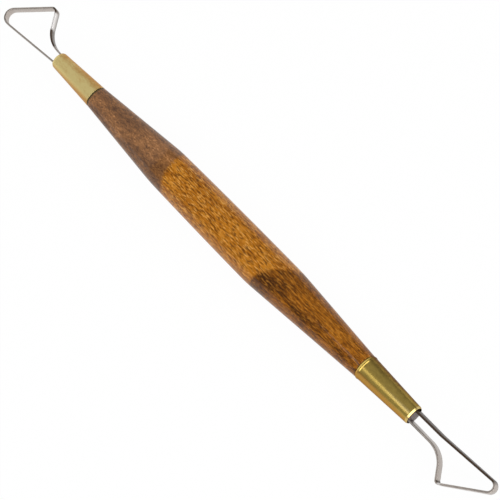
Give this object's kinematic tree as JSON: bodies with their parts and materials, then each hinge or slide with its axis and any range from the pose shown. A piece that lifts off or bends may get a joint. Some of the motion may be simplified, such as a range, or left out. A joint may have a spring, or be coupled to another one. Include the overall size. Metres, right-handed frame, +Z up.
{
  "type": "ribbon tool",
  "caption": "Slim double-ended clay trimming tool: a turned wooden handle with a bent steel ribbon loop held in a tapered brass ferrule at either end.",
  "frame": {"origin": "middle of the outline's length and width, at the height of the handle's lowest line", "axes": "+X along the tool from the small loop to the large loop, +Y across the flat loops, towards the side where the small loop's heel is, +Z up, across the ribbons' width"},
  "size_m": [0.2036, 0.0184, 0.013],
  "materials": {
    "hardwood": "clear lacquer over fine straight grain, stained dark on the turned tapers",
    "satin_brass": "satin",
    "polished_brass": "polished",
    "ribbon_steel": "rolled strip, drawn along its length"
  },
  "bodies": {
    "root": {"handle": "hardwood", "small_ferrule": "satin_brass", "large_ferrule": "polished_brass", "small_ribbon_loop": "ribbon_steel", "large_ribbon_loop": "ribbon_steel"}
  },
  "joints": []
}
